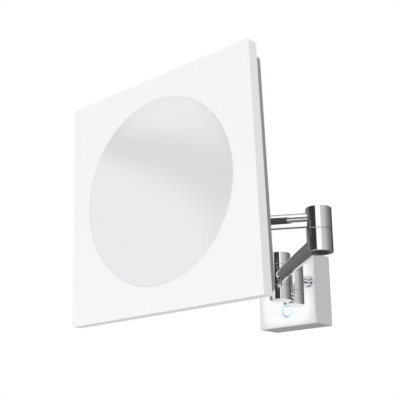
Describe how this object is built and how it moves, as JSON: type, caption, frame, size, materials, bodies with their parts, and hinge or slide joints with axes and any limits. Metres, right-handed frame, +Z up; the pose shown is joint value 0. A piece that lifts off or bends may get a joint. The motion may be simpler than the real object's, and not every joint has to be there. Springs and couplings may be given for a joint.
{
  "type": "extendable shaving mirror",
  "caption": "Square lit shaving mirror with a round magnifying glass, on a folding two-part swivel arm with chrome knuckles and a small lit wall box with a touch sensor.",
  "frame": {"origin": "centre of the wall box back, on the wall plane", "axes": "+X right along the wall, +Y into the wall, +Z up; the mirror looks towards -Y"},
  "size_m": [0.2112, 0.3019, 0.2118],
  "materials": {
    "chrome": "polished chrome plating",
    "satin_metal": "satin anodised, fine vertical grain",
    "cover_metal": "satin grey lacquer",
    "steel": "zinc plated",
    "frame_acrylic": "opal acrylic, satin front, lit from behind",
    "diffuser_acrylic": "opal acrylic, lit from behind",
    "mirror": "silvered glass, slightly dished",
    "board": "white solder mask",
    "led": "yellow phosphor",
    "sensor": "pale blue light guide",
    "black_plastic": "moulded, matt",
    "washer": "filled nylon",
    "bearing": "plain bearing bronze",
    "rubber": "soft, matt",
    "black_steel": "black oxide",
    "pad": "moulded foam",
    "driver": "potted, moulded"
  },
  "bodies": {
    "wall_unit": {"wall_plate": "steel", "cable_grommet": "rubber", "box_housing": "satin_metal", "housing_screws": "black_steel", "diffuser_panel": "diffuser_acrylic", "sensor_ring": "sensor", "sensor_board": "board", "night_light_board": "board", "night_light_leds": "led", "driver_module": "driver", "stub_block": "steel", "block_screws": "steel", "wall_stub": "chrome", "wall_hub": "chrome", "wall_bush": "bearing"},
    "link": {"link_top_barrels": "chrome", "link_bottom_barrels": "chrome", "link_bars": "chrome", "link_bolts": "steel", "link_nuts": "steel", "link_washers": "washer", "link_caps": "chrome"},
    "lower_arm": {"arm_hub": "chrome", "arm_bush": "bearing", "lower_arm_tube": "chrome", "elbow_lower": "chrome", "elbow_set_screw": "black_steel", "elbow_bolt": "steel", "elbow_nut": "steel", "elbow_bottom_plug": "black_plastic", "elbow_washer": "washer"},
    "upper_arm": {"elbow_upper": "chrome", "elbow_bush": "bearing", "elbow_top_cap": "chrome", "upper_arm_tube": "chrome", "head_joint_lower": "chrome", "head_joint_bolt": "steel", "head_joint_nut": "steel", "head_joint_plug": "black_plastic", "head_joint_washer": "washer"},
    "neck": {"head_joint_upper": "chrome", "head_joint_bush": "bearing", "head_joint_cap": "chrome", "neck_bar": "chrome", "tilt_hub": "chrome", "tilt_bush": "bearing"},
    "head": {"tilt_bracket": "chrome", "tilt_pin": "steel", "tilt_washers": "washer", "tilt_caps": "chrome", "bracket_screws": "black_steel", "chassis_plate": "satin_metal", "led_board": "board", "led_chips": "led", "mirror_pad": "pad", "mirror_glass": "mirror", "light_frame": "frame_acrylic", "cover_seal": "rubber", "rear_cover": "cover_metal", "cover_screws": "black_steel"}
  },
  "joints": [
    {"name": "wall_swivel", "type": "hinge", "parent": "wall_unit", "child": "link", "pos_m": [0.03, -0.0555, 0.003], "axis": [0, 0, 1], "range_deg": [-90, 85]},
    {"name": "arm_swivel", "type": "hinge", "parent": "link", "child": "lower_arm", "pos_m": [0.03682, -0.08677, 0.003], "axis": [0, 0, -1], "range_deg": [-70, 130]},
    {"name": "elbow", "type": "hinge", "parent": "lower_arm", "child": "upper_arm", "pos_m": [0.15187, -0.17698, 0.012], "axis": [0, 0, 1], "range_deg": [-50, 180]},
    {"name": "head_swivel", "type": "hinge", "parent": "upper_arm", "child": "neck", "pos_m": [0.06194, -0.23252, 0.0313], "axis": [0, 0, -1], "range_deg": [-28, 90]},
    {"name": "head_tilt", "type": "hinge", "parent": "neck", "child": "head", "pos_m": [0.06359, -0.25426, 0.04115], "axis": [0.9971, 0.076, 0], "range_deg": [-30, 26]}
  ]
}
